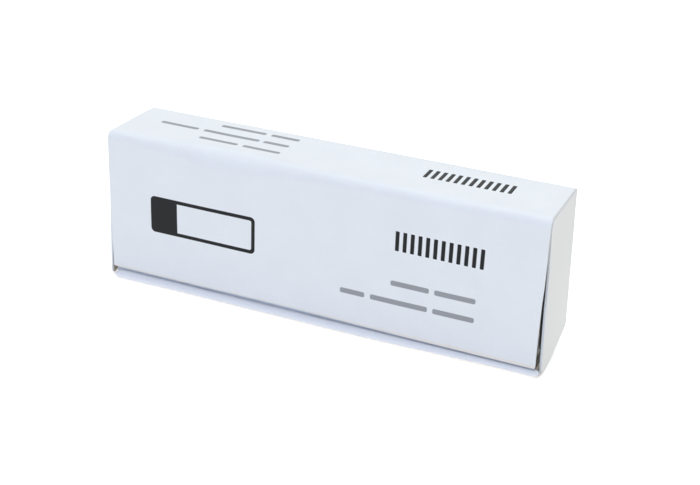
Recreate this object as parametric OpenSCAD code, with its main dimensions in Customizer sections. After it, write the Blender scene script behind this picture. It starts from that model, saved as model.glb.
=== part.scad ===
// Hinged-lid card carton that holds twelve glass microscope slides standing on edge.
// Millimetres. The long side runs along X, the front flap faces -Y, the origin is at the
// bottom centre of the whole object's box.

/* [Slides] */
// Length of a glass slide
slide_l = 75; // [50:0.5:90]
// Width of a glass slide, upright in the carton
slide_w = 25; // [20:0.5:40]
// Thickness of a glass slide
slide_t = 1.1; // [0.9:0.05:1.5]
// Polished bevel along every slide edge
slide_bevel = 0.15; // [0.05:0.01:0.3]
// Air between neighbouring slides
slide_gap = 0.02; // [0.01:0.01:0.1]

/* [Card] */
// Thickness of the card
card_t = 0.35; // [0.25:0.01:0.5]
// Outer radius of the soft fold between the top panel and the front flap
front_fold_r = 1.5; // [0.8:0.05:2.5]
// Outer radius of the fold between the top panel and the back panel
back_fold_r = 0.8; // [0.6:0.05:1.5]
// Outer radius of the folds between the top panel and the end flaps
end_fold_r = 0.55; // [0.45:0.05:1.5]
// Outer radius of the fold between the back panel and the bottom
bottom_fold_r = 0.5; // [0.4:0.05:1.2]
// Gap left in a crease between the two parts that turn about it
crease_gap = 0.06; // [0.04:0.01:0.12]

/* [Clearances] */
// Play between the end of a slide and a dust flap
end_play = 0.15; // [0.1:0.05:1]
// Play of the whole stack of slides between the front and the back
stack_play = 0.2; // [0.1:0.05:1]
// Room between the slides' top edges and the top panel
head_room = 1.2; // [0.5:0.1:4]
// Gap between the front flap and the inner front wall
flap_gap = 0.15; // [0.1:0.05:0.5]
// Gap between an end flap and the dust flap behind it
side_gap = 0.15; // [0.1:0.05:0.5]

/* [Front flap] */
// Inset of the front flap's side edges from the ends of the top panel
flap_inset = 0.05; // [0:0.05:1]
// Height of the front flap's cut edge above the rolled front fold
flap_lift = 0.25; // [0.15:0.05:1]
// Corner radius of the front flap
flap_corner_r = 0.8; // [0.2:0.1:3]

/* [End flaps] */
// How far the left end flap stands away from the carton, in degrees
flare_left = 1.4; // [0:0.1:6]
// How far the right end flap stands away from the carton, in degrees
flare_right = 2.1; // [0:0.1:6]
// Height of an end flap's front tip above the ground
tip_z = 0.4; // [0.3:0.1:3]
// Rise of an end flap's slanting lower edge from front to back
tip_rise = 2.3; // [0:0.1:6]
// Gap between an end flap's front edge and the back of the front flap
edge_gap = 0.1; // [0.1:0.01:0.5]
// Inset of an end flap's back edge from the back panel's face
back_inset = 0.2; // [0.1:0.05:1]
// Relief between a side fold and the front or back fold beside it
fold_relief = 0.1; // [0.1:0.05:0.5]
// Slope length that widens an end flap below its fold
shoulder = 1; // [0.4:0.1:4]
// Corner radius of an end flap's lower corners
end_corner_r = 0.8; // [0.2:0.1:3]

/* [Base] */
// How far the rolled front fold stands out in front of the front flap
roll_out = 0.9; // [0.4:0.05:1.5]
// Height of the rolled front fold
roll_h = 1.5; // [1.2:0.05:2.5]
// Height of the inner front wall behind the front flap
wall_h = 15; // [8:0.5:20]
// Narrowing of the inner front wall at each top corner
wall_taper = 3; // [0.5:0.1:8]
// Radius of the bend where the roll turns up into the inner front wall
wall_bend_r = 0.15; // [0.1:0.05:0.3]
// Length of a dust flap, from the back panel forward
dust_l = 8; // [4:0.5:11]
// Slope of the dust flap's upper and lower edges, in millimetres over its length
dust_taper = 2; // [0:0.1:5]
// Outer radius of the folds between the back panel and the dust flaps
dust_fold_r = 0.6; // [0.45:0.05:1]
// Gap between a dust flap and the top or bottom fold beside it
dust_relief = 0.3; // [0.1:0.05:1]

/* [Hidden] */
$fn = 48;
arc_steps = 8;
slide_count = 12;
slack = 1;

// Outside sizes follow from the slides, the card and the clearances.
end_front = card_t + edge_gap;
wall_y = card_t + flap_gap;
stack_y = wall_y + card_t + stack_play;
stack_depth = slide_count * slide_t + (slide_count - 1) * slide_gap;
fold_room = max(0, bottom_fold_r - card_t - slide_bevel);
depth = stack_y + stack_depth + fold_room + card_t;
base_half = slide_l / 2 + end_play + card_t;
half_w = base_half + side_gap + card_t;
height = card_t + slide_w + head_room + card_t;
roll_r = roll_h / 2 - 0.01;
flap_half = half_w - flap_inset;
flap_bottom = roll_h + flap_lift;
end_back = depth - back_inset;
side_fold_front = front_fold_r + fold_relief;
side_fold_back = depth - back_fold_r - fold_relief;

// Crease axes as [horizontal, height], just outside the middle of each fold's outer face.
front_axis = crease([0, height], front_fold_r, [1, 1]);
back_axis = crease([depth, height], back_fold_r, [-1, 1]);
end_axis = crease([half_w, height], end_fold_r, [-1, 1]);

// The object's box: the flared tips at the ends, the roll in front and the back panel.
reach_right = flared_reach(flare_right);
reach_left = flared_reach(flare_left);
middle_x = (reach_right - reach_left) / 2;
middle_y = (depth - roll_out) / 2;

card_white = [0.93, 0.95, 0.98];
glass_tint = [0.78, 0.9, 0.88, 0.5];

function crease(corner, r, inward) =
    let (centre = corner + [inward[0] * r, -r], reach = r + crease_gap / 2)
    centre + reach * [-inward[0], 1] / norm([1, 1]);

function flared_reach(flare) =
    let (dx = half_w - end_axis[0], drop = end_axis[1] - tip_z)
    end_axis[0] + dx * cos(flare) + drop * sin(flare);

function unit(v) = v / norm(v);
function left_of(v) = [-v[1], v[0]];

// The points that round the corner at b, between a and c, to radius r.
function fillet(a, b, c, r) =
    r <= 0 ? [b] :
    let (
        to_a = unit(a - b),
        to_c = unit(c - b),
        half = acos(to_a * to_c) / 2,
        centre = b + unit(to_a + to_c) * r / sin(half),
        start = b + to_a * r / tan(half) - centre,
        first = atan2(start[1], start[0]),
        sweep = (cross(b - a, c - b) > 0 ? 1 : -1) * (180 - 2 * half)
    )
    [for (i = [0:arc_steps]) let (angle = first + sweep * i / arc_steps)
        centre + r * [cos(angle), sin(angle)]];

// A closed outline with its corners rounded.
function rounded(points, radii) =
    let (n = len(points))
    [for (i = [0:n - 1]) each fillet(points[(i + n - 1) % n], points[i], points[(i + 1) % n], radii[i])];

// An open line with its inner corners rounded.
function bent(points, radii) =
    let (last = len(points) - 1)
    [for (i = [0:last]) each (i == 0 || i == last)
        ? [points[i]] : fillet(points[i - 1], points[i], points[i + 1], radii[i])];

function turns_left(points, i) = cross(points[i] - points[i - 1], points[i + 1] - points[i]) > 0;

// The line that lies one card thickness to the right of another.
function inner_line(points) =
    let (last = len(points) - 1)
    [for (i = [0:last])
        let (
            before = unit(points[max(i, 1)] - points[max(i, 1) - 1]),
            after = unit(points[min(i, last - 1) + 1] - points[min(i, last - 1)])
        )
        points[i] - card_t * (left_of(before) + left_of(after)) / (1 + before * after)];

function inner_radii(points, radii) =
    let (last = len(points) - 1)
    [for (i = [0:last]) (i == 0 || i == last)
        ? 0 : radii[i] + (turns_left(points, i) ? card_t : -card_t)];

function reversed(points) = [for (i = [len(points) - 1:-1:0]) points[i]];

// Section of a folded card whose outer face runs along the given line, with the card to the
// right of it.
module card_section(points, radii) {
    inner = bent(inner_line(points), inner_radii(points, radii));
    polygon(concat(bent(points, radii), reversed(inner)));
}

// Sets a section drawn in [y, z] along X, from one x to another.
module along_x(from, to) {
    translate([from, 0, 0])
        rotate([90, 0, 90])
            linear_extrude(to - from)
                children();
}

// Sets a section drawn in [x, z] along Y, from one y to another.
module along_y(from, to) {
    translate([0, to, 0])
        rotate([90, 0, 0])
            linear_extrude(to - from)
                children();
}

// Half-plane on one side of a crease's bisector: side 1 keeps the panel's share of the fold,
// side -1 the flap's share; way is 1 for a fold at a high coordinate, -1 for one at a low.
module crease_half(axis, way, side) {
    far = 2 * (slide_l + slide_w);
    translate(axis)
        rotate(way > 0 ? 45 : 135)
            translate([-far / 2, (side * way > 0) ? crease_gap / 2 : -far - crease_gap / 2])
                square(far);
}

// Puts the object's bottom centre at the origin.
module placed() {
    translate([-middle_x, -middle_y, 0])
        children();
}

module mirrored_pair() {
    children();
    mirror([1, 0, 0])
        children();
}

module base_section() {
    points = [[depth - back_fold_r - slack, height], [depth, height], [depth, 0], [-roll_out, 0],
              [-roll_out, roll_h], [wall_y, roll_h], [wall_y, wall_h]];
    radii = [0, back_fold_r, bottom_fold_r, roll_r, roll_r, wall_bend_r, 0];
    intersection() {
        card_section(points, radii);
        crease_half(back_axis, 1, -1);
    }
}

// Outline of the inner front wall, in [x, z].
module wall_outline() {
    top = base_half - wall_taper;
    polygon(rounded(
        [[-base_half, 0], [base_half, 0], [base_half, roll_h + slack], [top, wall_h],
         [-top, wall_h], [-base_half, roll_h + slack]],
        [0, 0, 0, flap_corner_r, flap_corner_r, 0]));
}

// The tray's outline seen from above, with the roll's ends rounded.
module tray_plan() {
    polygon(rounded(
        [[-base_half, -roll_out], [base_half, -roll_out], [base_half, depth], [-base_half, depth]],
        [roll_r, roll_r, 0, 0]));
}

// The bottom, the roll and the inner front wall, as wide as the slides need.
module base_tray() {
    intersection() {
        along_x(-base_half, base_half)
            intersection() {
                base_section();
                translate([-roll_out - slack, -slack])
                    square([depth - bottom_fold_r + roll_out + slack, wall_h + 2 * slack]);
            }
        along_y(-roll_out - slack, depth)
            wall_outline();
        linear_extrude(wall_h + slack)
            tray_plan();
    }
}

// The back panel with its folds to the bottom and to the top panel.
module base_back() {
    along_x(-base_half + dust_fold_r, base_half - dust_fold_r)
        intersection() {
            base_section();
            translate([depth - bottom_fold_r - slack, -slack])
                square([bottom_fold_r + 2 * slack, height + 2 * slack]);
        }
}

// One end's dust flap, folded forward from the back panel.
module dust_flap() {
    low = bottom_fold_r + dust_relief;
    high = height - back_fold_r - dust_relief;
    front = depth - dust_l;
    fold_line = depth - dust_fold_r;
    intersection() {
        translate([0, 0, low])
            linear_extrude(high - low)
                card_section(
                    [[base_half - dust_fold_r - slack, depth], [base_half, depth], [base_half, front]],
                    [0, dust_fold_r, 0]);
        along_x(0, half_w)
            polygon(rounded(
                [[depth + slack, low], [depth + slack, high], [fold_line, high], [front, high - dust_taper],
                 [front, low + dust_taper], [fold_line, low]],
                [0, 0, 0, flap_corner_r, flap_corner_r, 0]));
    }
}

module carton_base() {
    color(card_white)
        placed() {
            union() {
                base_tray();
                base_back();
                mirrored_pair()
                    dust_flap();
            }
        }
}

// The top panel's section across the carton, up to the middles of its front and back folds.
module lid_section() {
    intersection() {
        card_section(
            [[0, height - front_fold_r - slack], [0, height], [depth, height],
             [depth, height - back_fold_r - slack]],
            [0, front_fold_r, back_fold_r, 0]);
        crease_half(front_axis, -1, 1);
        crease_half(back_axis, 1, 1);
    }
}

module end_fold_section() {
    card_section(
        [[half_w - end_fold_r - slack, height], [half_w, height], [half_w, height - end_fold_r - slack]],
        [0, end_fold_r, 0]);
}

module lid_panel() {
    flat_half = half_w - end_fold_r;
    color(card_white)
        placed() {
            union() {
                along_x(-flat_half, flat_half)
                    lid_section();
                along_x(-flap_half, flap_half)
                    intersection() {
                        lid_section();
                        translate([0, height - front_fold_r])
                            square([front_fold_r, front_fold_r + slack]);
                    }
                mirrored_pair()
                    along_y(side_fold_front, side_fold_back)
                        intersection() {
                            end_fold_section();
                            crease_half(end_axis, 1, 1);
                        }
            }
        }
}

module front_flap() {
    color(card_white)
        placed() {
            intersection() {
                along_x(-flap_half, flap_half)
                    intersection() {
                        card_section([[0, flap_bottom], [0, height], [front_fold_r + slack, height]],
                                     [0, front_fold_r, 0]);
                        crease_half(front_axis, -1, -1);
                    }
                along_y(-slack, front_fold_r + slack)
                    polygon(rounded(
                        [[-flap_half, flap_bottom], [flap_half, flap_bottom],
                         [flap_half, height + slack], [-flap_half, height + slack]],
                        [flap_corner_r, flap_corner_r, 0, 0]));
            }
        }
}

// The right end flap hanging straight down, seen in [y, z], wider below its fold.
module end_outline() {
    fold_end = height - end_fold_r;
    polygon(rounded(
        [[side_fold_front, height + slack], [side_fold_front, fold_end], [end_front, fold_end - shoulder],
         [end_front, tip_z], [end_back, tip_z + tip_rise], [end_back, fold_end - shoulder],
         [side_fold_back, fold_end], [side_fold_back, height + slack]],
        [0, 0, 0, end_corner_r, end_corner_r, 0, 0, 0]));
}

module end_flap(flare) {
    translate([end_axis[0], 0, end_axis[1]])
        rotate([0, -flare, 0])
            translate([-end_axis[0], 0, -end_axis[1]])
                intersection() {
                    along_y(end_front - slack, end_back + slack)
                        intersection() {
                            card_section([[half_w - end_fold_r - slack, height], [half_w, height], [half_w, 0]],
                                         [0, end_fold_r, 0]);
                            crease_half(end_axis, 1, -1);
                        }
                    along_x(0, half_w + slack)
                        end_outline();
                }
}

module left_end_flap() {
    color(card_white)
        placed()
            mirror([1, 0, 0])
                end_flap(flare_left);
}

module right_end_flap() {
    color(card_white)
        placed()
            end_flap(flare_right);
}

// A rectangle centred on the origin with its corners cut at 45 degrees.
module bevelled_rect(width, length, bevel) {
    x = width / 2;
    y = length / 2;
    polygon([[x, bevel - y], [x, y - bevel], [x - bevel, y], [bevel - x, y],
             [-x, y - bevel], [-x, bevel - y], [bevel - x, -y], [x - bevel, -y]]);
}

// Slide number 1 stands nearest the front.
module slide(number) {
    front = stack_y + (number - 1) * (slide_t + slide_gap);
    color(glass_tint)
        placed()
            translate([0, front + slide_t / 2, card_t + slide_w / 2])
                intersection() {
                    linear_extrude(slide_w, center = true)
                        bevelled_rect(slide_l, slide_t, slide_bevel);
                    rotate([90, 0, 0])
                        linear_extrude(slide_t, center = true)
                            bevelled_rect(slide_l, slide_w, slide_bevel);
                    rotate([90, 0, 90])
                        linear_extrude(slide_l, center = true)
                            bevelled_rect(slide_t, slide_w, slide_bevel);
                }
}

function slide_node(number) = str("slide_", number < 10 ? "0" : "", number);

carton_base();
lid_panel();
front_flap();
left_end_flap();
right_end_flap();
for (number = [1:slide_count])
    slide(number);
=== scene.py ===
"""Looks of a folding-card carton for glass microscope slides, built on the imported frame.

Every card piece is a sheet of real thickness, made by bending its flat outline round the folds.
Lengths are millimetres in the carton's own frame: x from the middle, y from the front flap's
face towards the back, z up from the ground. place() puts them in the row frame, in metres.
"""

import math

import bpy
import numpy as np
from mathutils import Matrix, Vector


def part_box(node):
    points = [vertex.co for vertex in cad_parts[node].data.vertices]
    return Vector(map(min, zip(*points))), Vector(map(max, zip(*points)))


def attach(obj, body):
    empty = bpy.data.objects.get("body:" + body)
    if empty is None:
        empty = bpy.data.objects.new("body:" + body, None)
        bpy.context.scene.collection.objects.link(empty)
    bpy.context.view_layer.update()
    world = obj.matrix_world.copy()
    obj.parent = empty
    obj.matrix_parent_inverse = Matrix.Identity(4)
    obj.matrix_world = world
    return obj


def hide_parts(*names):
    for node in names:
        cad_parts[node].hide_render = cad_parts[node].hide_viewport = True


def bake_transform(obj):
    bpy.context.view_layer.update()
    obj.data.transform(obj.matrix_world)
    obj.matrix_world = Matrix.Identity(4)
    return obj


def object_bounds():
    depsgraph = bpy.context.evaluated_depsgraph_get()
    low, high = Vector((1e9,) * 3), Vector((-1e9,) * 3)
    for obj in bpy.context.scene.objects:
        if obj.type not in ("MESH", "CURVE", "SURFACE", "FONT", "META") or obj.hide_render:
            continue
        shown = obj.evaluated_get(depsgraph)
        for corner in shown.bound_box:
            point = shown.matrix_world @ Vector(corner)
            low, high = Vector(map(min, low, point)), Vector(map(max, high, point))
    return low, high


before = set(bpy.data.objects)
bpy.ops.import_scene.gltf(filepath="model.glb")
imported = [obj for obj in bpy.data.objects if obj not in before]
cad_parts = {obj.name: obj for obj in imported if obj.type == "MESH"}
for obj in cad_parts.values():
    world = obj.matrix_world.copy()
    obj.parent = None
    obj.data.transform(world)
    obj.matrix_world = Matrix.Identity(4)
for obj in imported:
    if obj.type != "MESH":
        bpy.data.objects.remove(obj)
cad_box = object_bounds()

MM = 0.001


def box_mm(node):
    low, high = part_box(node)
    return np.array(low) / MM, np.array(high) / MM


# Sizes that the frame gives.
flap_low, flap_high = box_mm("front_flap")
base_low, base_high = box_mm("carton_base")
end_low, end_high = box_mm("right_end_flap")
MIDDLE_X = (flap_low[0] + flap_high[0]) / 2
FRONT_Y = flap_low[1]
HIGH = cad_box[1][2] / MM
DEEP = base_high[1] - FRONT_Y
FLAP_HALF = (flap_high[0] - flap_low[0]) / 2
FLAP_BOTTOM = flap_low[2]
BASE_HALF = (base_high[0] - base_low[0]) / 2
ROLL_OUT = FRONT_Y - base_low[1]
END_FRONT = end_low[1] - FRONT_Y
END_BACK = end_high[1] - FRONT_Y

# Sizes repeated from the part's source.
CARD = 0.35
FLAP_INSET = 0.05
FRONT_R = 1.5
BACK_R = 0.8
BOTTOM_R = 0.5
DUST_R = 0.6
DUST_LENGTH = 8.0
DUST_TAPER = 2.0
DUST_RELIEF = 0.3
ROLL_HIGH = 1.5
ROLL_R = 0.74
WALL_Y = 0.5
WALL_HIGH = 15.0
WALL_TAPER = 3.0
WALL_BEND_R = 0.15
CORNER_R = 0.8
TIP_Z = 0.4
TIP_RISE = 2.3
FLARE_LEFT = math.radians(1.4)
FLARE_RIGHT = math.radians(2.1)

# Sizes of the looks alone: the solids have other values for these, or none.
END_R = 0.37
FLAP_CORNER_R = 0.3
END_TIP_Z = 0.06
ROLL_FOOT_R = 0.35
ROLL_TOP_R = 1.14
ROLL_RIGHT = 39.24
ROLL_LEFT = -37.55
ROLL_LEFT_DRAWN_IN = 0.45
TURNED_UP_INSET = 0.2
WALL_INSET = 1.4
RIM_BULGE = 0.03
# The front fold widens to the flap's full width once it has turned this far.
WIDENING = math.radians(24)

HALF = FLAP_HALF + FLAP_INSET
FLAT_HALF = HALF - END_R

# Millimetres of the flat blank to one unit of its UV map.
UV_MM = 100.0


def place(points):
    """Carton millimetres to row-frame metres."""
    return (np.asarray(points) + np.array([MIDDLE_X, FRONT_Y, 0.0])) * MM


def ease(t):
    t = np.clip(t, 0.0, 1.0)
    return t * t * (3 - 2 * t)


def corner_inset(distance, radius):
    """How far a rounded corner pulls an edge in, at a distance from the corner's end."""
    reach = np.clip(radius - distance, 0.0, radius)
    return radius - np.sqrt(radius * radius - reach * reach)


# ---------------------------------------------------------------- card sheets


def slab(outer, normal, flat):
    """A card sheet from a grid of points on its outer face: its points, faces, material marks
    (0 outer face, 1 inner face, 2 cut edge) and places on the flat blank."""
    rows, cols = outer.shape[:2]
    middle = (rows // 2, cols // 2)
    step_i = outer[middle[0] + 1, middle[1]] - outer[middle]
    step_j = outer[middle[0], middle[1] + 1] - outer[middle]
    turned = np.dot(np.cross(step_i, step_j), normal[middle]) < 0
    count = rows * cols
    inner = outer - CARD * normal
    index = np.arange(count).reshape(rows, cols)
    quads = np.stack([index[:-1, :-1], index[1:, :-1], index[1:, 1:], index[:-1, 1:]], -1).reshape(-1, 4)
    loop = (
        [(0, j) for j in range(cols)]
        + [(i, cols - 1) for i in range(1, rows)]
        + [(rows - 1, j) for j in range(cols - 2, -1, -1)]
        + [(i, 0) for i in range(rows - 2, 0, -1)]
    )
    rim = []
    for i, j in loop:
        inside = (min(max(i, 1), rows - 2), min(max(j, 1), cols - 2))
        out = outer[i, j] - outer[inside]
        out = out - np.dot(out, normal[i, j]) * normal[i, j]
        out = out / max(np.linalg.norm(out), 1e-9)
        rim.append(outer[i, j] - CARD / 2 * normal[i, j] + RIM_BULGE * out)
    faces = [tuple(q) for q in quads] + [tuple(q[::-1] + count) for q in quads]
    marks = [0] * len(quads) + [1] * len(quads)
    for k, (i, j) in enumerate(loop):
        after = (k + 1) % len(loop)
        a, b = index[i, j], index[loop[after]]
        p, q = 2 * count + k, 2 * count + after
        faces += [(a, b, q, p), (p, q, b + count, a + count)]
        marks += [2, 2]
    if turned:
        faces = [f[::-1] for f in faces]
    points = np.concatenate([outer.reshape(-1, 3), inner.reshape(-1, 3), np.array(rim)])
    flats = flat.reshape(-1, 2)
    flats = np.concatenate([flats, flats, np.array([flat[i, j] for i, j in loop])])
    return points, faces, marks, flats


def add_object(name, data):
    made = bpy.data.objects.new(name, data)
    bpy.context.scene.collection.objects.link(made)
    return made


def card_piece(name, slabs, materials):
    """One mesh from card sheets, with materials for outer face, inner face and cut edge."""
    points, faces, marks, flats, start = [], [], [], [], 0
    for p, f, m, uv in slabs:
        points.append(p)
        flats.append(uv)
        faces += [tuple(int(v) + start for v in face) for face in f]
        marks += m
        start += len(p)
    mesh = bpy.data.meshes.new(name)
    mesh.from_pydata(place(np.concatenate(points)).tolist(), [], faces)
    flats = np.concatenate(flats)
    layer = mesh.uv_layers.new(name="blank")
    corners = np.empty(len(mesh.loops), np.int32)
    mesh.loops.foreach_get("vertex_index", corners)
    layer.data.foreach_set("uv", (flats[corners] / UV_MM).astype(np.float32).ravel())
    for material in materials:
        mesh.materials.append(material)
    mesh.polygons.foreach_set("material_index", marks)
    mesh.polygons.foreach_set("use_smooth", [True] * len(faces))
    mesh.update()
    mesh.set_sharp_from_angle(angle=math.radians(38))
    piece = add_object(name, mesh)
    return piece


def bent_grid(surface, a, b, flat, mirrored=False):
    """A card sheet over a surface of two coordinates: outward is the first's direction crossed
    with the second's."""
    tiny = 1e-4
    points = surface(a, b)
    along_a = surface(a + tiny, b) - surface(a - tiny, b)
    along_b = surface(a, b + tiny) - surface(a, b - tiny)
    normal = np.cross(along_a, along_b)
    normal /= np.linalg.norm(normal, axis=-1, keepdims=True)
    if mirrored:
        flip = np.array([-1.0, 1.0, 1.0])
        return slab(points * flip, normal * flip, flat)
    return slab(points, normal, flat)


def folded(points, radii, gap=0.7, turn=8):
    """Rows (y, z, normal y, normal z, length) along a folded line with the card to its right."""
    points = [np.array(p, float) for p in points]
    rows, length = [], 0.0
    here = points[0]
    for k in range(1, len(points)):
        way = points[k] - points[k - 1]
        way = way / np.linalg.norm(way)
        out = np.array([-way[1], way[0]])
        last = k == len(points) - 1
        if last:
            stop, tangent = points[k], 0.0
        else:
            onward = points[k + 1] - points[k]
            onward = onward / np.linalg.norm(onward)
            bend = math.atan2(way[0] * onward[1] - way[1] * onward[0], way @ onward)
            tangent = radii[k] * math.tan(abs(bend) / 2)
            stop = points[k] - way * tangent
        run = np.linalg.norm(stop - here)
        steps = max(1, int(math.ceil(run / gap)))
        for s in range(steps + 1):
            spot = here + (stop - here) * s / steps
            rows.append([*spot, *out, length + run * s / steps])
        length += run
        if not last:
            side = 1 if bend > 0 else -1
            centre = stop + side * radii[k] * out
            count = max(3, int(math.ceil(abs(math.degrees(bend)) / turn)))
            for s in range(1, count):
                angle = bend * s / count
                c, d = math.cos(angle), math.sin(angle)
                n = np.array([c * out[0] - d * out[1], d * out[0] + c * out[1]])
                rows.append([*(centre - side * radii[k] * n), *n, length + radii[k] * abs(angle)])
            length += radii[k] * abs(bend)
            here = points[k] + onward * tangent
    keep = [rows[0]]
    for row in rows[1:]:
        if abs(row[4] - keep[-1][4]) > 1e-6:
            keep.append(row)
    return np.array(keep)


def swept(rows, halves, columns, ripple=None, sides=None, shaped=None):
    """A sheet with a folded section: each row reaches from -half to +half along x, or between its
    own two sides."""
    x = halves[:, None] * columns[None, :]
    if sides is not None:
        x = sides[0][:, None] + (sides[1] - sides[0])[:, None] * (columns[None, :] + 1) / 2
    y, z = np.broadcast_to(rows[:, 0:1], x.shape), np.broadcast_to(rows[:, 1:2], x.shape)
    points = np.stack([x, y, z], -1)
    normal = np.zeros_like(points)
    normal[..., 1] = rows[:, 2:3]
    normal[..., 2] = rows[:, 3:4]
    if ripple is not None:
        points = points + normal * ripple(x, rows[:, 4:5])[..., None]
    if shaped is not None:
        points = shaped(points)
    flat = np.stack([x, np.broadcast_to(rows[:, 4:5], x.shape)], -1)
    return slab(points, normal, flat)


def wave(x, s):
    """Gentle unevenness of handled card, in millimetres."""
    broad = 0.018 * np.sin(0.21 * x + 0.4 * s + 0.7)
    slanted = 0.014 * np.sin(0.47 * x - 0.33 * s + 2.1)
    return broad + slanted + 0.01 * np.sin(0.9 * s + 0.13 * x)


# ---------------------------------------------------------------- materials


class Nodes:
    """Short hand for building the node tree of a material or a world."""

    def __init__(self, owner, out="ShaderNodeOutputMaterial"):
        self.owner = owner
        self.owner.use_nodes = True
        self.tree = self.owner.node_tree
        self.tree.nodes.clear()
        self.out = self.tree.nodes.new(out)

    def node(self, kind, **settings):
        made = self.tree.nodes.new(kind)
        for key, value in settings.items():
            setattr(made, key, value)
        return made

    def feed(self, socket, value):
        if isinstance(value, bpy.types.NodeSocket):
            self.tree.links.new(value, socket)
        else:
            socket.default_value = value

    def shader(self, kind, inputs):
        """A shader node with the given inputs, by name or by number."""
        made = self.node(kind)
        for key, value in inputs.items():
            self.feed(made.inputs[key], value)
        return made.outputs[0]

    def math(self, operation, *values, clamp=False):
        made = self.node("ShaderNodeMath", operation=operation, use_clamp=clamp)
        for socket, value in zip(made.inputs, values):
            self.feed(socket, value)
        return made.outputs[0]

    def vector(self, operation, *values):
        made = self.node("ShaderNodeVectorMath", operation=operation)
        for socket, value in zip(made.inputs, values):
            self.feed(socket, value)
        return made.outputs["Value" if operation in ("LENGTH", "DOT_PRODUCT") else "Vector"]

    def noise(self, coords, scale, detail=2.0, rough=0.5):
        made = self.node("ShaderNodeTexNoise", noise_dimensions="3D")
        self.feed(made.inputs["Vector"], coords)
        made.inputs["Scale"].default_value = scale
        made.inputs["Detail"].default_value = detail
        made.inputs["Roughness"].default_value = rough
        return made.outputs["Fac"]

    def span(self, value, low, high, to_low=0.0, to_high=1.0):
        made = self.node("ShaderNodeMapRange", clamp=True)
        self.feed(made.inputs["Value"], value)
        made.inputs["From Min"].default_value = low
        made.inputs["From Max"].default_value = high
        made.inputs["To Min"].default_value = to_low
        made.inputs["To Max"].default_value = to_high
        return made.outputs["Result"]

    def mix(self, factor, a, b, blend="MIX"):
        made = self.node("ShaderNodeMix", data_type="RGBA", blend_type=blend)
        self.feed(made.inputs[0], factor)
        self.feed(made.inputs[6], a)
        self.feed(made.inputs[7], b)
        return made.outputs[2]

    def bump(self, height, strength, distance, normal=None):
        made = self.node("ShaderNodeBump")
        made.inputs["Strength"].default_value = strength
        made.inputs["Distance"].default_value = distance
        self.feed(made.inputs["Height"], height)
        if normal is not None:
            self.feed(made.inputs["Normal"], normal)
        return made.outputs["Normal"]

    def flat_mm(self):
        """Flat coordinates of the blank, in millimetres."""
        uv = self.node("ShaderNodeUVMap", uv_map="blank")
        made = self.node("ShaderNodeVectorMath", operation="SCALE")
        self.feed(made.inputs[0], uv.outputs["UV"])
        made.inputs["Scale"].default_value = UV_MM
        return made.outputs["Vector"]

    def seen_directly(self):
        """1 for what the camera sees, also in mirrors and through glass."""
        path = self.node("ShaderNodeLightPath").outputs
        indirect = self.math("MAXIMUM", path["Is Glossy Ray"], path["Is Transmission Ray"])
        return self.math("MAXIMUM", path["Is Camera Ray"], indirect)

    def finish(self, shader):
        self.feed(self.out.inputs["Surface"], shader)
        return self.owner


def new_material(name):
    return Nodes(bpy.data.materials.new(name))


def srgb(r, g, b):
    """An sRGB colour of 0 to 255 as a linear one."""

    def linear(c):
        c /= 255.0
        return c / 12.92 if c <= 0.04045 else ((c + 0.055) / 1.055) ** 2.4

    return (linear(r), linear(g), linear(b), 1.0)


def print_mask(n, flat, marks):
    """1 inside any of the printed marks: rounded rectangles (x0, x1, y0, y1, radius), with a
    minus radius for one that is cut out of those before it."""
    total = None
    for x0, x1, y0, y1, radius in marks:
        r = abs(radius)
        centre = ((x0 + x1) / 2, (y0 + y1) / 2, 0.0)
        half = (abs(x1 - x0) / 2 - r, abs(y1 - y0) / 2 - r, 10.0)
        away = n.vector("SUBTRACT", n.vector("ABSOLUTE", n.vector("SUBTRACT", flat, centre)), half)
        far = n.vector("LENGTH", n.vector("MAXIMUM", away, (0.0, 0.0, 0.0)))
        inside = n.span(far, r - 0.03, r + 0.03, 1.0, 0.0)
        if total is None:
            total = inside
        elif radius < 0:
            total = n.math("SUBTRACT", total, inside, clamp=True)
        else:
            total = n.math("MAXIMUM", total, inside)
    return total


INK, INK_SHARE = (4, 4, 6), 0.995
FINE_INK, FINE_INK_SHARE = (30, 32, 52), 0.62
CARD_WHITES = ((233, 236, 238), (237, 240, 242))


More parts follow.
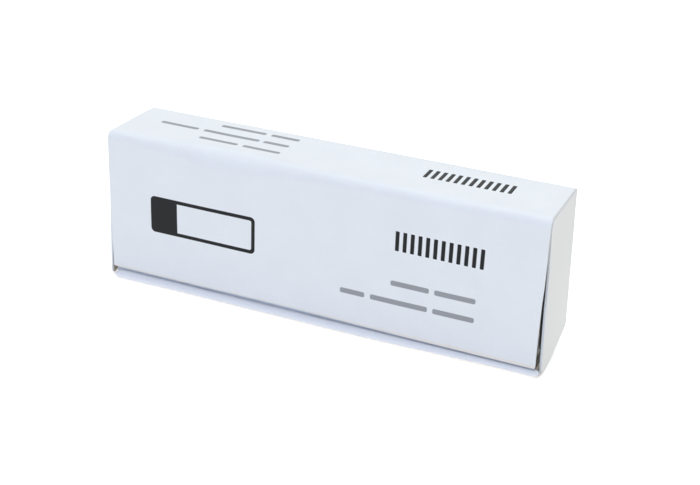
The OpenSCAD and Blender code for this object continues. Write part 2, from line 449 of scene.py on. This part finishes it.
def card_outside(name, marks=(), fine_marks=(), crease=None, whites=CARD_WHITES):
    """White coated card: faint mottle and laid grain, satin coat, optional print and crease. A
    crease is a band of painted shade along a line of the blank: its axis on the blank, its place,
    its half width, its share and its colour."""
    n = new_material(name)
    flat = n.flat_mm()
    cloud = n.noise(flat, 0.16, 3.0)
    speck = n.noise(flat, 3.2, 2.0, 0.6)
    weave_a = n.noise(n.vector("MULTIPLY", flat, (1.3, 5.2, 1.0)), 1.0, 1.0)
    weave_b = n.noise(n.vector("MULTIPLY", flat, (5.2, 1.3, 1.0)), 1.0, 1.0)
    white = n.mix(n.span(cloud, 0.3, 0.7), srgb(*whites[0]), srgb(*whites[1]))
    white = n.mix(n.span(speck, 0.25, 0.75, 0.0, 0.5), white, srgb(*(c - 4 for c in whites[0])))
    # Painted shade: with a crease, the white is mixed towards the crease colour in a band along its
    # line.
    if crease is not None:
        axis, place_on_blank, half_width, share, colour = crease
        parts = n.node("ShaderNodeSeparateXYZ")
        n.feed(parts.inputs[0], flat)
        away = n.math("ABSOLUTE", n.math("SUBTRACT", parts.outputs[axis], place_on_blank))
        shade_weight = n.span(away, half_width * 0.4, half_width, 1.0, 0.0)
        white = n.mix(n.math("MULTIPLY", shade_weight, share), white, srgb(*colour))
    ink = None
    if marks:
        ink = print_mask(n, flat, marks)
        white = n.mix(n.math("MULTIPLY", ink, INK_SHARE), white, srgb(*INK))
    if fine_marks:
        fine = print_mask(n, flat, fine_marks)
        white = n.mix(n.math("MULTIPLY", fine, FINE_INK_SHARE), white, srgb(*FINE_INK))
        ink = n.math("MAXIMUM", ink, fine) if ink is not None else fine
    rough = n.span(cloud, 0.3, 0.7, 0.42, 0.5)
    if ink is not None:
        rough = n.math("ADD", rough, n.math("MULTIPLY", ink, -0.08))
    woven = n.bump(n.math("ADD", weave_a, weave_b), 0.22, 0.00002)
    return n.finish(n.shader("ShaderNodeBsdfPrincipled", {
        "Base Color": white,
        "Roughness": rough,
        "IOR": 1.45,
        "Specular IOR Level": 0.25,
        "Coat Weight": 0.03,
        "Coat Roughness": 0.35,
        "Normal": n.bump(speck, 0.12, 0.00001, woven),
    }))


def card_inside():
    """The board's uncoated back: off-white with short fibres."""
    n = new_material("card_inside")
    flat = n.flat_mm()
    fibre = n.noise(n.vector("MULTIPLY", flat, (1.0, 6.0, 1.0)), 1.6, 4.0, 0.65)
    cloud = n.noise(flat, 0.25, 3.0)
    tone = n.mix(n.span(fibre, 0.35, 0.65), srgb(219, 215, 206), srgb(232, 229, 221))
    tone = n.mix(n.span(cloud, 0.35, 0.65, 0.0, 0.35), tone, srgb(224, 222, 216))
    return n.finish(n.shader("ShaderNodeBsdfPrincipled", {
        "Base Color": tone,
        "Roughness": n.span(fibre, 0.3, 0.7, 0.78, 0.9),
        "Specular IOR Level": 0.25,
        "Normal": n.bump(fibre, 0.35, 0.00002),
    }))


def card_edge(name, low, high):
    """The cut edge: layered pulp."""
    n = new_material(name)
    place_in = n.node("ShaderNodeTexCoord").outputs["Object"]
    pulp = n.noise(place_in, 5200.0, 3.0, 0.6)
    broad = n.noise(place_in, 420.0, 2.0)
    tone = n.mix(n.span(pulp, 0.3, 0.7), low, high)
    tone = n.mix(n.span(broad, 0.35, 0.65, 0.0, 0.5), tone, high)
    return n.finish(n.shader("ShaderNodeBsdfPrincipled", {
        "Base Color": tone,
        "Roughness": n.span(pulp, 0.3, 0.7, 0.82, 0.95),
        "Specular IOR Level": 0.2,
        "Normal": n.bump(pulp, 0.4, 0.00003),
    }))


def slide_glass():
    """Clear soda-lime glass: faintly green, with polished edges and a trace of dust."""
    n = new_material("slide_glass")
    place_in = n.node("ShaderNodeTexCoord").outputs["Object"]
    ripple = n.noise(place_in, 60.0, 1.0)
    dust = n.noise(place_in, 900.0, 3.0, 0.7)
    tint = n.mix(n.span(ripple, 0.3, 0.7), (0.86, 0.95, 0.92, 1.0), (0.9, 0.97, 0.945, 1.0))
    return n.finish(n.shader("ShaderNodeBsdfPrincipled", {
        "Base Color": tint,
        "Roughness": n.span(dust, 0.62, 0.78, 0.02, 0.16),
        "IOR": 1.52,
        "Transmission Weight": 0.86,
        "Normal": n.bump(ripple, 0.05, 0.00005),
    }))


# Print, as plain shapes: (x0, x1, height on the blank from, to, corner radius). On the
# front flap a height is that above the ground, and on the top panel it is TOP_LEVEL plus y.
TOP_LEVEL = HIGH - (2 - math.pi / 2) * FRONT_R


def twelve_bars(x, low, high, pitch=1.27, width=0.66):
    """Upright strokes that stand for the count of slides."""
    return [(x + k * pitch, x + k * pitch + width, low, high, 0.12) for k in range(12)]


def text_line(low, *spans):
    """A line of words, as plain bars."""
    return [(x0, x1, low, low + 0.9, 0.3) for x0, x1 in spans]


BOLD = [
    # A slide with its edge drawn round it and a solid label end.
    (-30.3, -10.5, 10.3, 16.9, 0.8),
    (-29.65, -11.15, 10.95, 16.25, -0.35),
    (-30.0, -25.2, 10.6, 16.6, 0.5),
    *twelve_bars(14.2, 16.6, 20.0),
    *twelve_bars(15.4, TOP_LEVEL + 7.1, TOP_LEVEL + 10.5),
]
FINE = [
    *text_line(10.45, (13.8, 20.3), (21.2, 28.0)),
    *text_line(7.15, (5.1, 9.4), (10.4, 20.2), (21.1, 28.0)),
    *text_line(TOP_LEVEL + 4.85, (-23.8, -16.6), (-15.6, -8.8)),
    *text_line(TOP_LEVEL + 8.2, (-33.1, -25.9), (-24.8, -14.3), (-13.5, -8.8)),
    *text_line(TOP_LEVEL + 11.4, (-23.1, -14.6), (-13.6, -8.4)),
]

INSIDE = card_inside()
EDGE = card_edge("card_edge", srgb(212, 214, 217), srgb(230, 233, 237))
# Painted shade: a warm, slightly darker band along the front flap's lower cut edge.
PRINTED = card_outside("card_printed", BOLD, FINE, ("Y", FLAP_BOTTOM, 0.7, 0.8, (235, 229, 219)))
# Painted shade: a grey line along the fold at the top of each end flap.
END_CARD = card_outside("card_end", crease=("Y", 0.42, 0.26, 0.3, (150, 156, 162)))
# Painted light: the same card as the other pieces, given a brighter white.
PLAIN = card_outside("card_plain", whites=((241, 245, 249), (244, 248, 252)))
# The grey along the roll stands in for a part of the shade seen in the photo.
# Painted light: the base is the same card as the other pieces, given a brighter white.
ROLLED = card_outside("card_rolled", crease=("Y", 43.3, 1.5, 0.42, (188, 194, 206)),
                      whites=((248, 250, 252), (250, 252, 254)))
GLASS = slide_glass()


# ---------------------------------------------------------------- top panel and front flap


def front_radius(x):
    """The fold is rolled softer left of the middle, where it has been pressed in."""
    r = 1.75 + 1.65 * np.exp(-(((x + 16.0) / 10.0) ** 2)) + 0.08 * np.sin(0.35 * x)
    return r + (FRONT_R - r) * ease((np.abs(x) - 31.0) / 4.0)


def cut_edge(x):
    """Height of the front flap's cut edge, which is a little higher in its left half."""
    return FLAP_BOTTOM + 0.28 * (1 - ease((x + 6) / 30)) - 0.1 * ease((-10 - x) / 20)


def lid_surface(t, x):
    """t from 0 to 1 along the top panel, to 2 round the fold, to 3 down the front flap. The top
    sags and the flap bows out, both by about a tenth of a millimetre."""
    r = front_radius(x)
    top = np.clip(t, -1, 1)
    turn = np.clip(t - 1, 0, 1) * math.pi / 2
    down = np.maximum(t - 2, 0)
    start = DEEP - BACK_R
    side = np.clip(np.abs(x) / FLAP_HALF, 0, 1)
    y = start + (r - start) * top
    sag = 0.14 * (1 - side**4) * np.sin(math.pi * np.clip(y / start, 0, 1)) ** 2
    z = HIGH - sag * (t < 1)
    y = y - r * np.sin(turn)
    z = z - r * (1 - np.cos(turn)) * (t >= 1)
    fall = HIGH - r - cut_edge(x)
    z = z - fall * down
    level = np.clip((HIGH - z) / (HIGH - FLAP_BOTTOM), 0, 1)
    y = y - (0.1 * np.sin(math.pi * level) * (1 - side**4) + 0.1 * level**3) * np.clip(t - 1, 0, 1)
    lift = wave(x, 20 - y + (HIGH - z)) * (1 - side**6)
    y = y - lift * np.clip(t - 1, 0, 1)
    z = z - np.abs(lift) * np.clip(2 - t, 0, 1)
    return np.stack([x, y, z], -1)


def lid_and_front():
    drop = HIGH - FRONT_R - FLAP_BOTTOM
    widened = WIDENING * 2 / math.pi
    bend = np.linspace(0, math.pi / 2, 10)
    t = np.concatenate([
        np.linspace(0, 1, 28, endpoint=False),
        np.linspace(1, 1 + widened, 8),
        np.linspace(1.003 + widened, 2, 20, endpoint=False),
        np.linspace(2, 3 - FLAP_CORNER_R / drop, 44, endpoint=False),
        3 - FLAP_CORNER_R * (1 - np.sin(bend)) / drop,
    ])
    turn = np.degrees(np.clip(t - 1, 0, 1) * math.pi / 2)
    half = np.where(turn < math.degrees(WIDENING), FLAT_HALF, FLAP_HALF + 0.03)
    z = HIGH - FRONT_R - drop * (t - 2)
    round_off = np.zeros(len(t))
    round_off[-len(bend):] = FLAP_CORNER_R * (1 - np.cos(bend))
    right = half - round_off - 0.1 * ease((17 - z) / 5) * (1 - 0.6 * ease((6 - z) / 4))
    left = -half + round_off + 0.3 * np.clip((16 - z) / 14, 0, 1)
    spread = np.linspace(-1, 1, 121)
    spread = np.sin(spread * math.pi / 2) * 0.35 + spread * 0.65
    x = left[:, None] + (right - left)[:, None] * (spread[None, :] + 1) / 2
    t = np.broadcast_to(t[:, None], x.shape)
    r = front_radius(x)
    back = DEEP - BACK_R
    q = np.where(t < 1, TOP_LEVEL + back + (r - back) * t,
                 np.where(t < 2, TOP_LEVEL + r - (TOP_LEVEL + 2 * r - HIGH) * (t - 1),
                          (HIGH - r) - (HIGH - r - cut_edge(x)) * (t - 2)))
    grid = bent_grid(lid_surface, t, x, np.stack([x, q], -1))
    piece = card_piece("card_lid_front", [grid], [PRINTED, INSIDE, EDGE])
    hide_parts("lid_panel", "front_flap")
    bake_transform(piece)


# ---------------------------------------------------------------- end flaps

# The end fold starts where the front fold has turned by WIDENING and reaches the flap's side.
FOLD_FROM = FRONT_R * (1 - math.sin(WIDENING)) + 0.03


def end_surface(a, v, flare, recess, curl, reach, bend):
    """a runs from the flap's front edge to its back edge, v down from the top panel. The front
    edge stands back by recess and is curled in by curl, over reach, below the share bend of the
    flap's height."""
    whole = math.pi / 2 - flare
    phi = np.clip(v / END_R, -0.2, whole)
    drop = np.maximum(v - END_R * whole, 0)
    level = np.clip(drop / (HIGH - END_R), 0, 1)
    y = a + recess * ease(level / 0.45) * np.clip(1 - (a - END_FRONT) / 5, 0, 1)
    side = np.clip((a - END_FRONT) / (END_BACK - END_FRONT), 0, 1)
    rolled = curl * ease((level - bend) / 0.5)
    n = 0.08 * np.sin(math.pi * side) * np.sin(math.pi * level) - 0.02 * level
    n = n - rolled * np.clip(1 - (a - END_FRONT) / reach, 0, 1) ** 2
    n = n + 0.09 * (1 - np.exp(-drop / 0.2)) * np.exp(-drop / 1.1)
    x = HALF - END_R + END_R * np.sin(phi) + drop * math.sin(flare) + n * np.sin(phi)
    z = HIGH - END_R + END_R * np.cos(phi) - drop * math.cos(flare) + n * np.cos(phi)
    ahead, behind = np.clip(FRONT_R - y, 0, FRONT_R), np.clip(y - DEEP + BACK_R, 0, BACK_R)
    fall = FRONT_R - np.sqrt(FRONT_R**2 - ahead**2) + BACK_R - np.sqrt(BACK_R**2 - behind**2)
    z = z - fall * (1 - np.clip(phi / whole, 0, 1))
    return np.stack([x, y, z], -1)


def end_flap(name, flare, mirrored, node, body, tip_radius, **front_edge):
    """front_edge is what end_surface takes after the flare."""
    arc = END_R * (math.pi / 2 - flare)
    hang = HIGH - END_R
    y = np.unique(np.round(np.concatenate([
        END_FRONT + tip_radius * (1 - np.cos(np.linspace(0, math.pi / 2, 16))),
        [FOLD_FROM - 0.005, FOLD_FROM],
        np.linspace(END_FRONT + tip_radius, FRONT_R + 3, 16),
        np.linspace(FRONT_R + 3, END_BACK - CORNER_R, 20),
        END_BACK - CORNER_R * (1 - np.cos(np.linspace(0, math.pi / 2, 10))),
    ]), 5))
    # Upper edge: under the inside of the front fold, then along the end fold.
    under = np.sqrt(np.maximum((FRONT_R - CARD) ** 2 - (FRONT_R - y) ** 2, 0))
    top = np.where(y < FOLD_FROM, arc + END_R * 0.1 + np.maximum(FRONT_R - END_R - under, 0), 0.0)
    top = top + corner_inset(END_BACK - y, 0.35)
    low = END_TIP_Z + (TIP_Z + TIP_RISE - END_TIP_Z) * (y - END_FRONT) / (END_BACK - END_FRONT)
    low = low + corner_inset(y - END_FRONT, tip_radius) + corner_inset(END_BACK - y, CORNER_R)
    bottom = arc + hang - low
    share = np.concatenate([
        np.linspace(0, 0.07, 24, endpoint=False),
        np.linspace(0.07, 0.96, 44, endpoint=False),
        np.linspace(0.96, 1, 5),
    ])
    v = top[None, :] + (bottom - top)[None, :] * share[:, None]
    y = np.broadcast_to(y[None, :], v.shape)
    grid = bent_grid(lambda b, a: end_surface(a, b, flare, **front_edge),
                     v, y, np.stack([y, v], -1), mirrored)
    piece = card_piece(name, [grid], [END_CARD, INSIDE, EDGE])
    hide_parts(node)
    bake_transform(piece)


# ---------------------------------------------------------------- base


def pinched(points):
    """Draws the roll's section together towards both its ends and rounds its foot."""
    x, y, z = points[..., 0], points[..., 1], points[..., 2]
    end = np.where(x > 0, ROLL_RIGHT, ROLL_LEFT)
    near = np.clip(1 - np.abs(end - x) / 1.1, 0, 1)
    rolled = z < ROLL_HIGH + 0.01
    z = z - 0.08 * ease((y + 0.5) / 0.6) * ease((z - 0.9) / 0.4) * rolled
    pinch = np.where(x > 0, 0.72, 0.56) * (1 - np.sqrt(1 - 0.98 * near**2))
    shrink = pinch * ease((0.5 - y) / 0.3) * rolled
    y = y + (ROLL_R - ROLL_OUT - y) * shrink
    z = z + (ROLL_HIGH / 2 - 0.05 - z) * shrink
    # Towards the right end the roll's foot rises and its face lies further back.
    ahead = ease((0.3 - y) / 0.8) * rolled
    rightward = ease((x - 5) / 32)
    foot = (0.15 * ease((x + 36) / 12) + 0.3 * rightward) * np.clip(1 - z / ROLL_HIGH, 0, 1)
    return np.stack([x, y + 0.35 * rightward * ahead, z + foot * ahead], -1)


def tray_sheet(back_half):
    """Back panel, bottom panel, the roll and the inner front wall, as one folded sheet."""
    rows = folded(
        [(DEEP, HIGH - BACK_R), (DEEP, 0), (-ROLL_OUT, 0),
         (-ROLL_OUT, ROLL_HIGH), (WALL_Y, ROLL_HIGH), (WALL_Y, WALL_HIGH)],
        [0, BOTTOM_R, ROLL_FOOT_R, ROLL_TOP_R, WALL_BEND_R, 0], gap=0.5, turn=9)
    y, z = rows[:, 0], rows[:, 1]
    turned_up = rows[:, 4] > rows[np.argmin(y), 4]
    half = np.where(y > DEEP - BOTTOM_R, back_half, BASE_HALF)
    near_back = (y <= DEEP - BOTTOM_R) & (z < 0.01)
    widening = back_half + (BASE_HALF - back_half) * ease((DEEP - BOTTOM_R - y) / 0.6)
    half = np.where(near_back, widening, half)
    wall = turned_up & (z > ROLL_HIGH + 0.2)
    taper = BASE_HALF - WALL_TAPER * np.clip((z - ROLL_HIGH - 1) / (WALL_HIGH - ROLL_HIGH - 1), 0, 1)
    half = np.where(wall, taper - corner_inset(WALL_HIGH - z, CORNER_R), half)
    half = np.where(turned_up, half - TURNED_UP_INSET - WALL_INSET * wall, half)
    # The roll stands a little proud of the right end, and both its ends are pinched and rounded.
    proud = ease((0.6 - y) / 0.35) * (z < ROLL_HIGH + 0.01)
    tip_round = corner_inset(np.where(y < 0, y + ROLL_OUT, 1.0), 0.25)
    left = np.maximum(-half, ROLL_LEFT - ROLL_LEFT_DRAWN_IN * (1 - proud)) + tip_round
    right = half + (ROLL_RIGHT - half) * proud - tip_round
    columns = np.linspace(-1, 1, 101)
    columns = np.sign(columns) * (1 - (1 - np.abs(columns)) ** 1.35)

    def ripple(x, s):
        return np.clip(wave(x, s), -0.02, 0.0) * (np.abs(x) < back_half - 1)

    return swept(rows, half, columns, ripple, (left, right), pinched)


def dust_flap(side, back_half):
    """A dust flap with the fold that joins it to the back panel: side 1 is the right one."""
    low, high = BOTTOM_R + DUST_RELIEF, HIGH - BACK_R - DUST_RELIEF
    line = folded([(back_half, DEEP), (BASE_HALF, DEEP), (BASE_HALF, DEEP - DUST_LENGTH)],
                  [0, DUST_R, 0], gap=0.4, turn=9)
    along = np.clip((DEEP - DUST_R - line[:, 1]) / (DUST_LENGTH - DUST_R), 0, 1)
    corner = corner_inset(line[:, 1] - (DEEP - DUST_LENGTH), CORNER_R)
    # The lower edge is nearly level, to keep light off the slides' ends.
    upper, lower = high - DUST_TAPER * along - corner, low + 0.3 * along + corner
    z = lower[:, None] + (upper - lower)[:, None] * np.linspace(0, 1, 40)[None, :]
    x, y = np.broadcast_to(line[:, 0:1], z.shape), np.broadcast_to(line[:, 1:2], z.shape)
    points = np.stack([x, y, z], -1)
    normal = np.zeros_like(points)
    normal[..., 0], normal[..., 1] = line[:, 2:3], line[:, 3:4]
    flip = np.array([side, 1.0, 1.0])
    flat = np.stack([np.broadcast_to(line[:, 4:5], z.shape), z], -1)
    return slab(points * flip, normal * flip, flat)


def base_card():
    back_half = BASE_HALF - DUST_R
    slabs = [tray_sheet(back_half), dust_flap(1, back_half), dust_flap(-1, back_half)]
    piece = card_piece("card_base", slabs, [ROLLED, INSIDE, EDGE])
    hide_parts("carton_base")
    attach(piece, "base")


def back_crease():
    """The soft fold between the back panel and the lid."""
    rows = folded([(DEEP - BACK_R - 1, HIGH), (DEEP, HIGH), (DEEP, HIGH - BACK_R - 1)],
                  [0, BACK_R, 0], gap=5, turn=6)
    rows = rows[1:-1]
    strip = swept(rows, np.full(len(rows), FLAT_HALF), np.linspace(-1, 1, 61))
    piece = card_piece("card_back_crease", [strip], [PLAIN, INSIDE, EDGE])
    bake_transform(piece)
    return piece


lid_and_front()
end_flap("card_end_right", FLARE_RIGHT, False, "right_end_flap", "right_end",
         tip_radius=0.7, recess=0.6, curl=0.16, reach=3.4, bend=0.15)
end_flap("card_end_left", FLARE_LEFT, True, "left_end_flap", "left_end",
         tip_radius=0.5, recess=0.0, curl=0.0, reach=3.4, bend=0.15)
base_card()
back_crease()

for node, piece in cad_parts.items():
    if node.startswith("slide_"):
        if not piece.material_slots:
            piece.data.materials.append(GLASS)
        for slot in piece.material_slots:
            slot.material = GLASS


# ---------------------------------------------------------------- floor, lights, camera


FLOOR_GLOW = 0.45
FLOOR_SPILL = 0.285
SKY = 0.215


def white_to_camera(n, ground, strength, spill):
    """A surface that glows white where it is seen directly, by a strength that may be a node's
    output, and spills a little warm light, as an overlit paper sweep does."""
    light = n.shader("ShaderNodeMixShader", {
        0: n.seen_directly(),
        1: n.shader("ShaderNodeEmission", {"Color": (1.0, 0.75, 0.38, 1), "Strength": spill}),
        2: n.shader("ShaderNodeEmission", {"Color": (1, 1, 1, 1), "Strength": strength}),
    })
    return n.shader("ShaderNodeAddShader", {0: ground, 1: light})


def studio_floor():
    n = new_material("floor_paper")
    coords = n.node("ShaderNodeTexCoord").outputs["Object"]
    tone = n.mix(n.noise(coords, 900.0, 3.0), (0.9, 0.9, 0.9, 1), (0.92, 0.92, 0.92, 1))
    paper = n.shader("ShaderNodeBsdfDiffuse", {"Color": tone})
    # The glow is left out in a strip just behind the roll (metres), so that the gap beside the
    # base looks darker, as it does in the photo.
    # Painted shade: without the glow the floor in this strip shows dark where the carton shades it.
    parts = n.node("ShaderNodeSeparateXYZ")
    n.feed(parts.inputs[0], coords)
    open_x = n.span(n.math("ABSOLUTE", parts.outputs["X"]), 0.0384, 0.0388)
    open_y = n.span(n.math("ABSOLUTE", n.math("ADD", parts.outputs["Y"], 0.0042)), 0.002, 0.0024)
    strength = n.math("MULTIPLY", n.math("MAXIMUM", open_x, open_y), FLOOR_GLOW)
    mesh = bpy.data.meshes.new("floor")
    turns = np.linspace(0, 2 * math.pi, 64, endpoint=False)
    ring = [(6 * math.cos(a), 6 * math.sin(a), -0.00002) for a in turns]
    mesh.from_pydata(ring, [], [tuple(range(len(ring)))])
    mesh.materials.append(n.finish(white_to_camera(n, paper, strength, FLOOR_SPILL)))
    floor = add_object("floor", mesh)


def studio_world():
    """Near white where it is seen directly, and a dim, slightly warm light on everything else."""
    world = bpy.data.worlds.new("studio")
    bpy.context.scene.world = world
    n = Nodes(world, "ShaderNodeOutputWorld")
    n.finish(n.shader("ShaderNodeMixShader", {
        0: n.seen_directly(),
        1: n.shader("ShaderNodeBackground", {"Color": (1.0, 0.99, 0.96, 1), "Strength": SKY}),
        2: n.shader("ShaderNodeBackground", {"Strength": 1.0}),
    }))


def sun(name, azimuth, elevation, strength, colour, softness):
    """A soft far lamp. Azimuth 0 shines from the front, 90 from the right end."""
    lamp = bpy.data.lights.new(name, "SUN")
    lamp.energy = strength
    lamp.color = colour
    lamp.angle = math.radians(softness)
    a, e = math.radians(azimuth), math.radians(elevation)
    toward = Vector((math.sin(a) * math.cos(e), -math.cos(a) * math.cos(e), math.sin(e)))
    holder = add_object(name, lamp)
    holder.rotation_mode = "QUATERNION"
    holder.rotation_quaternion = toward.to_track_quat("Z", "Y")


def photo_camera():
    """The camera that was fitted to the carton's edges in the photo."""
    azimuth, elevation, roll = math.radians(22.74), math.radians(24.97), math.radians(2.43)
    level = math.cos(elevation)
    look = Vector((-math.sin(azimuth) * level, math.cos(azimuth) * level, -math.sin(elevation)))
    across = Vector((math.cos(azimuth), math.sin(azimuth), 0))
    up = across.cross(look)
    right = math.cos(roll) * across + math.sin(roll) * up
    above = -math.sin(roll) * across + math.cos(roll) * up
    lens = bpy.data.cameras.new("photo_camera")
    lens.sensor_width = 36.0
    lens.lens = 66.0
    lens.clip_start, lens.clip_end = 0.01, 50
    camera = add_object("photo_camera", lens)
    turn = Matrix((right, above, -look)).transposed().to_4x4()
    camera.matrix_world = Matrix.Translation(Vector((77.84, -177.56, 102.4)) * MM) @ turn
    bpy.context.scene.camera = camera


studio_floor()
studio_world()
sun("front_light", 0, 15, 1.06, (0.445, 0.645, 1.0), 50)
sun("top_light", 0, 88, 1.61, (0.955, 0.935, 1.01), 50)
sun("back_light", 180, 60, 0.97, (0.9, 1.0, 0.92), 50)
photo_camera()

scene = bpy.context.scene
scene.view_settings.view_transform = "Standard"
